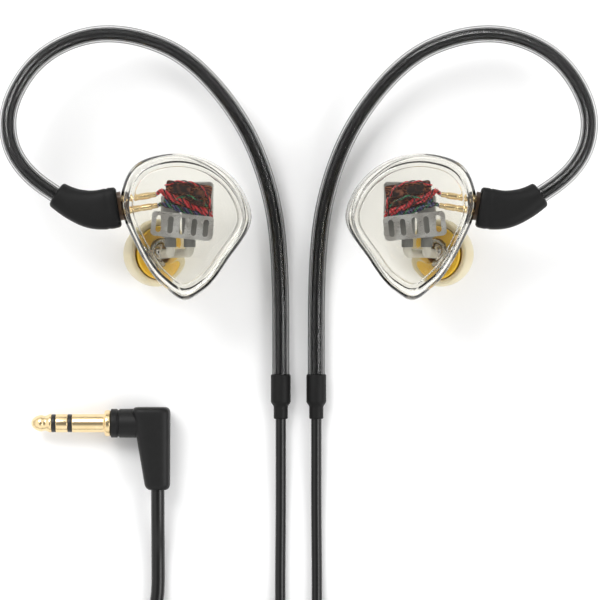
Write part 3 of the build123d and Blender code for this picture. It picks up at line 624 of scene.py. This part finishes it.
outer_wall = wall_rings(OUTER, SHELL_DEEP, np.linspace(0.0, 0.84, 26))
inner_wall = wall_rings(INNER, CAVITY_DEEP, np.linspace(0.0, 0.86, 24))
neck_end = nozzle_ring(NOZZLE_R, -0.7)
hole_end = nozzle_ring(NOZZLE_HOLE, -3.4)
shell_rings = [
    *outer_wall,
    *bridge(outer_wall[-2], outer_wall[-1], neck_end, nozzle_ring(NOZZLE_R, 0.0), 0.9, 0.8, 18),
    neck_end,
    *[nozzle_ring(NOZZLE_R, s) for s in (0.5, 1.5, 3.0, NOZZLE_LONG - 0.6)],
    nozzle_ring(NOZZLE_R + BARB, NOZZLE_LONG - 0.4),
    nozzle_ring(NOZZLE_R + BARB, NOZZLE_LONG - 0.15),
    nozzle_ring(NOZZLE_R - 0.05, NOZZLE_LONG),
    *[nozzle_ring(NOZZLE_HOLE + 0.02, s) for s in (NOZZLE_LONG, 4.0, 2.0, 0.0, -2.0)],
    hole_end,
    *bridge(nozzle_ring(NOZZLE_HOLE, -2.4), hole_end, inner_wall[-1], inner_wall[-2], 0.8, 0.9, 14),
    *reversed(inner_wall),
]

resin = Paint("clear_resin", Transmission_Weight=1.0, IOR=1.44, Base_Color=(0.960, 0.952, 0.915, 1))
resin.vary("Roughness", resin.grain(0.35) * 0.04)
resin.bumpy(resin.grain(0.14, 1.0), 0.14, 0.6)
both("shell_clear", [skin(shell_rings, wrap=True)], [resin], "earpiece", ["body_shell"])

# ---------------------------------------------------------------------------------------------
# Faceplates: cast clear resin lids glued on the rim. The edge is rounded over, and a fine step on top
# shows where the flat polished face begins.
PLATE_THICK = 2.4
UNDERSIDE = (0.2, 0.5, 0.8, 0.945)  # shares of the outline
FINE_STEP = [(0.808, 2.05), (0.802, 2.04), (0.797, 2.12), (0.791, 2.33), (0.783, 2.39)]  # share and height
FLAT_TOP = (0.772, 0.6, 0.4, 0.2)
plate_turn = np.linspace(0, pi / 2, 12)
plate_rings = [outline_ring(share, 0, 0, SEAM_Z + SEAM_GAP) for share in UNDERSIDE]
plate_rings += [outline_ring(0.815 + 0.14 * cos(t), 0, 0, SEAM_Z + 0.06 + 2.04 * sin(t)) for t in plate_turn]
plate_rings += [outline_ring(share, 0, 0, SEAM_Z + rise) for share, rise in FINE_STEP]
plate_rings += [outline_ring(share, 0, 0, SEAM_Z + PLATE_THICK) for share in FLAT_TOP]
both("lid_clear", [skin(plate_rings)], [resin], "earpiece", ["faceplate"])

# ---------------------------------------------------------------------------------------------
# Badge, drivers and sound path. The badge is a stamped steel strip with five slots. The drivers are
# drawn nickel cans with a lid seam. Grey rubber dampers and milky tubes lead the sound to a screen.
CAN_SEAM_Z = 18.3
badge = Paint("badge_steel", Metallic=1.0)
# painted reflection: the steel's colour turns between darker and brighter patches, standing in for mirrored
# surroundings
bright = badge.grain(0.3, 1.0).step(0.4, 0.6)
badge.vary("Base Color", badge.mixed((0.72, 0.70, 0.68), (1.0, 1.0, 1.0), bright))
badge.vary("Roughness", badge.grain(1.0, 3.0, (1.0, 14.0, 1.0)) * 0.2 + 0.20)
badge.bumpy(badge.grain(1.5, 3.0, (1.0, 16.0, 1.0)), 0.01)
can = Paint("driver_can", Metallic=0.7)
can.vary("Base Color", can.mixed((0.30, 0.295, 0.285), (0.52, 0.515, 0.50), can.grain(0.25)))
can.vary("Roughness", can.grain(2.0) * 0.2 + 0.22)
lid_seam = (can.axis("Z") - CAN_SEAM_Z).maths("ABSOLUTE").step(0.05, 0.12)
can.bumpy(lid_seam + can.grain(3.0) * 0.1, 0.06)
damper = Paint("damper_grey", Base_Color=(0.22, 0.22, 0.21, 1), Roughness=0.6)
damper.bumpy(damper.grain(4.0), 0.03)
milky = Paint("milky_tube", Base_Color=(0.90, 0.87, 0.78, 1), Transmission_Weight=0.2, IOR=1.38)
milky.vary("Roughness", milky.grain(2.0) * 0.2 + 0.25)
screen = Paint("screen_steel", Base_Color=(0.55, 0.55, 0.54, 1), Metallic=1.0)
screen.vary("Roughness", screen.grain(6.0) * 0.3 + 0.25)
for side in ("left_", "right_"):
    repaint(badge, side + "badge_plate")
    repaint(can, side + "low_driver", side + "high_driver")
    repaint(damper, side + "dampers")
    repaint(milky, side + "low_sound_tube", side + "high_sound_tube")
    repaint(screen, side + "nozzle_screen")

# ---------------------------------------------------------------------------------------------
# Crossover and wiring. A dark reddish-brown board with copper tracks carries three small parts, and
# fine lacquered litz strands in red, green and blue run from the sockets over it to the drivers.
board = Paint("crossover_board", Specular_IOR_Level=0.5, Roughness=0.35)
track = (board.grain(0.9, 1.0, (1.0, 2.2, 1.0)) - 0.5).maths("ABSOLUTE").step(0.02, 0.05)
board.vary("Base Color", board.mixed((0.42, 0.16, 0.06), (0.075, 0.018, 0.014), track))
board.bumpy(track, 0.04)
chips = Paint("crossover_parts", Roughness=0.3)
brown = chips.grain(0.7, 1.0).step(0.45, 0.6)
chips.vary("Base Color", chips.mixed((0.03, 0.018, 0.016), (0.20, 0.075, 0.045), brown))
for side in ("left_", "right_"):
    repaint(board, side + "crossover_board")
    repaint(chips, side + "crossover_parts")

# Each bundle is twisted from several strands: colours, twists, bundle radius, and the run of its middle.
# The colours are red 0, green 1, blue 2 and dark 3.
STRAND_R = 0.13
BUNDLE_STEPS = 120
BUNDLE_AROUND = 48
BUNDLES = [
    ((0, 0, 0, 3), 7.0, 0.26, [
        (-26.4, 5.4, 18.9), (-25.5, 5.9, 20.6), (-24.1, 5.0, 21.4), (-21.8, 4.1, 21.6), (-19.6, 2.75, 21.5),
        (-17.4, 2.1, 21.4), (-16.2, 0.9, 21.0),
    ]),
    ((0, 0, 3), 4.0, 0.22, [
        (-25.6, 5.6, 20.6), (-23.7, 4.1, 21.4), (-21.3, 3.4, 21.5), (-19.2, 2.3, 21.3), (-17.2, 1.3, 21.2),
        (-16.3, 0.2, 20.8),
    ]),
    ((2, 2, 3, 1), 6.0, 0.26, [
        (-26.0, 3.3, 18.9), (-25.3, 3.3, 20.6), (-23.6, 2.9, 21.2), (-21.0, 2.2, 21.3), (-18.6, 1.2, 21.2),
        (-16.6, 0.3, 21.0), (-16.2, -0.8, 20.8),
    ]),
    ((2, 1, 2), 4.0, 0.2, [
        (-25.0, 4.2, 20.9), (-22.9, 2.4, 21.2), (-21.2, 1.9, 21.2), (-19.4, 1.7, 21.1), (-17.6, 1.6, 20.9),
    ]),
    ((0, 3), 5.0, 0.16, [
        (-24.9, 6.7, 21.0), (-23.2, 7.4, 21.6), (-20.6, 7.4, 21.8), (-18.2, 6.5, 21.7), (-16.8, 4.4, 21.4),
        (-16.3, 1.6, 21.0),
    ]),
    ((3, 1), 3.0, 0.14, [
        (-23.6, 3.3, 21.2), (-22.1, 4.6, 22.0), (-20.2, 4.7, 22.05), (-18.9, 4.2, 21.9), (-17.0, 3.0, 21.4),
    ]),
]


def curve_through(points, count):
    """A smooth open curve of count points through a few points, evenly shared along their chords."""
    knots = chord_knots(points)
    return through(knots, points, np.linspace(0, knots[-1], count))


def sweep(path, radii, around):
    """Rings of round section along a path that is never upright, with a radius for each point.

    A ring is radius * (cos angle * side + sin angle * up), with side level and up square to the path.
    """
    path = np.asarray(path)
    heading = np.gradient(path, axis=0)
    heading /= np.linalg.norm(heading, axis=1)[:, None]
    side = np.cross((0, 0, 1), heading)
    side /= np.linalg.norm(side, axis=1)[:, None]
    up = np.cross(heading, side)
    angle = np.linspace(0, 2 * pi, around, endpoint=False)
    level = np.cos(angle)[None, :, None] * side[:, None, :]
    steep = np.sin(angle)[None, :, None] * up[:, None, :]
    return path[:, None, :] + np.asarray(radii)[:, None, None] * (level + steep)


litz = [Paint("litz_" + colour, Roughness=0.3) for colour in ("red", "green", "blue", "dark")]
tones = (
    ((0.42, 0.01, 0.015), (0.75, 0.06, 0.07)),
    ((0.01, 0.10, 0.04), (0.03, 0.24, 0.10)),
    ((0.01, 0.01, 0.05), (0.10, 0.10, 0.26)),
    ((0.012, 0.008, 0.010), (0.07, 0.03, 0.03)),
)
for paint, (low, high) in zip(litz, tones):
    lay = (paint.axis("X") * 9.0 + paint.axis("Y") * 6.0).maths("SINE").step(-0.5, 0.5)
    paint.vary("Base Color", paint.mixed(low, high, lay))
    paint.bumpy(lay, 0.04)
strand_blocks = []
for colours, twists, apart, points in BUNDLES:
    middle = curve_through(points, BUNDLE_STEPS)
    circle = sweep(middle, np.full(BUNDLE_STEPS, apart), BUNDLE_AROUND)
    for place, colour in enumerate(colours):
        lap_share = np.linspace(0, twists, BUNDLE_STEPS) + place / len(colours)
        path = circle[np.arange(BUNDLE_STEPS), (lap_share * BUNDLE_AROUND).astype(int) % BUNDLE_AROUND]
        strand_blocks.append((*skin(sweep(path, np.full(BUNDLE_STEPS, STRAND_R), 8)), colour))
both("litz_wires", strand_blocks, litz, "earpiece", ["signal_wires"])
for side in ("left_", "right_"):
    repaint(gold, side + "connector_pins")

# ---------------------------------------------------------------------------------------------
# Sockets: two turned and gold-plated sleeves moulded in the shell's wall. Each has two shallow grooves
# that key it in the resin, and a slimmer cup at its end that is filled with bright solder.
PIN_FACE = np.array((-33.0, 3.1, 18.6))
PIN_TURN = radians(9.5)
PIN_AXIS = np.array((cos(PIN_TURN), sin(PIN_TURN), 0.0))
PIN_ACROSS = np.array((-sin(PIN_TURN), cos(PIN_TURN), 0.0))
PIN_HALF_PITCH = 1.05
SOCKET = [
    (0.44, 0.02), (0.62, 0.02), (0.62, 1.3), (0.52, 1.4), (0.52, 1.75), (0.62, 1.85), (0.62, 3.1),
    (0.54, 3.2), (0.54, 3.5), (0.62, 3.6), (0.62, 5.35), (0.5, 5.5), (0.5, 6.5), (0.36, 6.55), (0.3, 5.6),
    (0.44, 5.25),
]
SOLDER = [(0.02, 5.75), (0.33, 5.75), (0.42, 6.6), (0.32, 6.85), (0.18, 7.05), (0.02, 7.1)]
solder = Paint("solder", Base_Color=(0.62, 0.62, 0.63, 1), Metallic=1.0)
solder.vary("Roughness", solder.grain(2.0) * 0.3 + 0.2)
solder.bumpy(solder.grain(2.5), 0.06)
socket_blocks = []
for way in (1, -1):
    start = PIN_FACE + PIN_ACROSS * PIN_HALF_PITCH * way
    socket_blocks.append((*skin(lathe(eased(SOCKET, 0.06), start, PIN_AXIS, 32), wrap=True), 0))
    socket_blocks.append((*skin(lathe(eased(SOLDER, 0.06), start, PIN_AXIS, 24)), 1))
both("sockets", socket_blocks, [gold, solder], "earpiece", ["pin_sockets"])

# ---------------------------------------------------------------------------------------------
# Ear tips: two-part silicone. The mushroom-shaped flange is milky cream, and the firm core that grips
# the nozzle is amber. They are moulded together and push on the nozzle.
TIP_AROUND = 96
# each point: distance from the nozzle's axis, and distance past the tip's seat
FLANGE_OUTSIDE = [(6.02, 0.9), (6.2, 1.5), (6.25, 2.2), (5.9, 4.3), (5.0, 6.1), (3.7, 7.2), (2.5, 7.58)]
FLANGE_INSIDE = [(3.25, 6.35), (4.2, 5.6), (4.9, 4.3), (5.15, 2.7), (5.1, 1.6), (4.98, 1.0)]
CORE = [
    (2.36, 0.03), (4.7, 0.03), (4.9, 0.2), (4.9, 0.6), (4.5, 0.8), (3.4, 1.35), (3.2, 1.8), (3.2, 6.25),
    (2.36, 6.25),
]
flange_out = curve_through(FLANGE_OUTSIDE, 36)
flange_in = curve_through(FLANGE_INSIDE, 26)
flange_grip = [(2.33, 7.5), (2.33, 6.4), (2.5, 6.32)]
flange_brim = [(5.1, 0.86), (5.55, 0.76), (5.9, 0.8)]
flange_profile = [*flange_out, *flange_grip, *flange_in, *flange_brim]

cream = Paint("tip_cream", Subsurface_Weight=0.3, Subsurface_Scale=0.002, Transmission_Weight=0.08, IOR=1.4)
cream.shader.inputs["Subsurface Radius"].default_value = (1.0, 0.85, 0.5)
cream.vary("Base Color", cream.mixed((0.74, 0.64, 0.41), (0.84, 0.76, 0.56), cream.grain(0.25)))
cream.vary("Roughness", cream.grain(1.5) * 0.15 + 0.35)
cream.bumpy(cream.grain(3.0), 0.012)
amber = Paint("tip_amber", Subsurface_Weight=0.3, Subsurface_Scale=0.003)
amber.shader.inputs["Subsurface Radius"].default_value = (1.0, 0.55, 0.12)
amber.vary("Base Color", amber.mixed((0.80, 0.42, 0.015), (0.92, 0.56, 0.05), amber.grain(0.3)))
amber.vary("Roughness", amber.grain(1.5) * 0.15 + 0.35)
amber.bumpy(amber.grain(3.0), 0.012)
flange_rings = lathe(flange_profile, NOZZLE_SEAT, NOZZLE_AXIS, TIP_AROUND)
both("tip_mushroom", [skin(flange_rings, wrap=True)], [cream], "tip", ["tip_flange"])
core_rings = lathe(eased(CORE, 0.1), NOZZLE_SEAT, NOZZLE_AXIS, TIP_AROUND)
both("tip_grip", [skin(core_rings, wrap=True)], [amber], "tip", ["tip_core"])

# ---------------------------------------------------------------------------------------------
# Connector housings: matte black soft plastic moulded over the pins' carrier and the hook. The heel is
# a tall rounded block with a thin lip towards the shell, and the neck bends up to the hook's mouth.
HOUSING_Z = 18.6
HOUSING_GROOVE = 1.9  # the fine groove behind the heel's lip
# distance, x, y, direction across in plan, half height in plan, half depth, squareness
HOUSING = [
    (0.0, -33.75, 2.85, -0.165, 0.986, 3.75, 2.6, 4.6),
    (1.2, -35.0, 2.62, -0.12, 0.993, 3.85, 2.68, 4.4),
    (4.4, -38.6, 2.35, 0.05, 0.999, 3.6, 2.68, 3.6),
    (8.2, -42.3, 3.45, 0.40, 0.916, 3.0, 2.62, 2.7),
    (10.4, -44.1, 4.4, 0.52, 0.854, 2.7, 2.55, 2.2),
    (12.0, -45.5, 5.3, 0.555, 0.832, 2.5, 2.5, 2.0),
]
housing_table = np.array(HOUSING)
spots = np.concatenate([[0.0, 0.06, 0.2, 0.4], np.linspace(0.8, 11.4, 30), [11.7, 11.85, 11.95, 12.0]])
rows = through(housing_table[:, 0], housing_table[:, 1:], spots)
housing_rings = []
for spot, (x, y, dx, dy, tall, deep, power) in zip(spots, rows):
    rounding = 0.35 * max(0.0, 1 - spot / 0.4) ** 2 + 0.45 * max(0.0, 1 - (12.0 - spot) / 0.4) ** 2
    less = rounding + 0.10 * np.exp(-(((spot - HOUSING_GROOVE) / 0.16) ** 2))
    across = np.array((dx, dy, 0)) / np.hypot(dx, dy)
    housing_rings.append(section((x, y, HOUSING_Z), across, (0, 0, 1), tall - less, deep - less, power, 96))
soft_black = Paint("housing_black", Specular_IOR_Level=0.22)
speckle = soft_black.grain(0.8)
soft_black.vary("Base Color", soft_black.mixed((0.003, 0.003, 0.003), (0.006, 0.006, 0.006), speckle))
soft_black.vary("Roughness", soft_black.grain(3.0) * 0.15 + 0.45)
soft_black.bumpy(soft_black.grain(12.0, 4.0), 0.02)
housing_block = skin(housing_rings)
both("housing_shell", [housing_block], [soft_black], "cable_set", ["connector_housing"])
carrier = Paint("carrier_amber", Roughness=0.3, Transmission_Weight=0.3)
carrier.vary("Base Color", carrier.mixed((0.05, 0.025, 0.010), (0.13, 0.07, 0.03), carrier.grain(0.5)))
for side in ("left_", "right_"):
    repaint(carrier, side + "pin_carrier")

# ---------------------------------------------------------------------------------------------
# Ear hooks: heat-formed clear tubing with the black cable running through it. The tube sits in the
# housing's mouth, loops over the ear and ends in a black sleeve. The cable fills most of its bore.
HOOK_R = 1.64
HOOK_HOLE = 1.06
CABLE_R = 1.0
HOOK_CORNERS = [
    (-43.42, 3.81, 18.6), (-50.91, 8.81, 18.6), (-54.65, 14.9, 17.6), (-54.65, 22.5, 16.4),
    (-49.4, 31.1, 14.8), (-40.5, 35.75, 12.8), (-31.0, 35.75, 11.0), (-20.7, 31.6, 8.6),
    (-11.0, 20.4, 5.6), (-5.7, 8.1, 3.4), (HOOK_END_X, -5.5, 1.9),
]
LEG_STEPS = 14
HOOK_AROUND = 48


def rounded_run(corners):
    """A curve of quadratic pieces: it touches the middle of each leg and bends towards each corner.

    A piece is (1 - t)^2 start + 2 t (1 - t) corner + t^2 end, from one leg's middle to the next.
    """
    corners = np.array(corners)
    middles = (corners[1:] + corners[:-1]) / 2
    made = [corners[:1]]
    for start, corner, end in zip(middles[:-1], corners[1:-1], middles[1:]):
        t = np.linspace(0, 1, LEG_STEPS, endpoint=False)[:, None]
        made.append((1 - t) ** 2 * start + 2 * t * (1 - t) * corner + t**2 * end)
    return np.vstack([*made, middles[-1:], corners[-1:]])


tube_path = rounded_run([*HOOK_CORNERS, (HOOK_END_X, -33.0, 1.9)])
cable_path = rounded_run([*HOOK_CORNERS, (HOOK_END_X, -37.4, 1.9)])
tube_outside = sweep(tube_path, np.full(len(tube_path), HOOK_R), HOOK_AROUND)
tube_inside = sweep(tube_path, np.full(len(tube_path), HOOK_HOLE), HOOK_AROUND)
hook_clear = Paint("hook_clear", Transmission_Weight=1.0, IOR=1.22)
# painted shade: the colour darkens towards the tube's flanks, read from a point attribute set below
painted_edge_shade = hook_clear.place.node("ShaderNodeAttribute", "Fac", {}, attribute_name="painted_edge_shade").step(0.72, 0.94)
hook_clear.vary("Base Color", hook_clear.mixed((0.92, 0.92, 0.92), (0.02, 0.02, 0.02), painted_edge_shade))
hook_clear.vary("Roughness", hook_clear.grain(0.4) * 0.05 + 0.03)
hook_clear.bumpy(hook_clear.grain(0.3, 2.0), 0.02)
tube_block = skin([*tube_outside, *tube_inside[::-1]], wrap=True)
tubes = both("hook_tube", [tube_block], [hook_clear], "cable_set", ["ear_hook_tube"])
# painted shade: the tube's two flanks turn near black, in place of the dark outline the clear wall shows
painted_edge_shade_around = np.abs(np.cos(np.linspace(0, 2 * pi, HOOK_AROUND, endpoint=False)))
painted_edge_shade_values = np.concatenate([np.tile(painted_edge_shade_around, len(tube_path)), np.zeros(HOOK_AROUND * len(tube_path))])
for tube in tubes:
    tube.data.attributes.new("painted_edge_shade", "FLOAT", "POINT").data.foreach_set("value", painted_edge_shade_values)
cable_rings = sweep(cable_path, np.full(len(cable_path), CABLE_R), 40)
both("hook_core", [skin(cable_rings)], [jacket], "cable_set", ["hook_cable"])

# ---------------------------------------------------------------------------------------------
# Sleeves: small stepped black sleeves that end each hook. A wide part grips the tube, and below a
# short cone the narrow neck grips the cable.
SLEEVE_TOP = (HOOK_END_X, -28.8, 1.9)
SLEEVE_PROFILE = [
    (0.7, 0.0), (1.72, 0.0), (1.9, 0.18), (1.9, 5.3), (1.78, 5.55), (1.42, 6.05), (1.35, 6.3), (1.35, 8.4),
    (1.22, 8.58), (0.7, 8.58),
]
sleeve_rings = lathe(eased(SLEEVE_PROFILE, 0.15), SLEEVE_TOP, (0, -1, 0))
both("hook_end", [skin(sleeve_rings)], [soft_black], "cable_set", ["hook_sleeve"])
